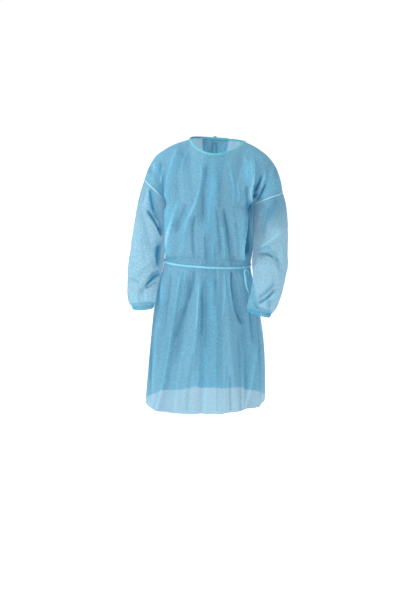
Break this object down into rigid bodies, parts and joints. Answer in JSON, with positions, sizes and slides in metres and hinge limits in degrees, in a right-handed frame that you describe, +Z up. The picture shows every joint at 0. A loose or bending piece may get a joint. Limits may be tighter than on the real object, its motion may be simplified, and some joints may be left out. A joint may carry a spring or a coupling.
{
  "type": "isolation gown",
  "caption": "Long-sleeved disposable isolation gown in its worn shape, with gathered elastic cuffs, bound neckline and a tie round the waist.",
  "frame": {"origin": "middle of the shoulder line, where the wearer's shoulders hold the gown up", "axes": "+Z up, the wearer faces -Y, +X is the wearer's left"},
  "size_m": [0.6079, 0.4201, 1.0236],
  "materials": {
    "cloth": "matte, sheer nonwoven",
    "sleeve_cloth": "matte, sheer nonwoven",
    "binding": "matte",
    "tie": "matte"
  },
  "bodies": {
    "root": {"front": "cloth", "back_right": "cloth", "back_left": "cloth", "sleeve_right": "sleeve_cloth", "sleeve_left": "sleeve_cloth", "cuff_right": "sleeve_cloth", "cuff_left": "sleeve_cloth", "neck_binding": "binding", "waist_tie": "tie", "waist_knot": "tie", "waist_loop": "tie", "waist_tail": "tie", "neck_knot": "binding", "neck_tie_right": "binding", "neck_tie_left": "binding"}
  },
  "joints": []
}
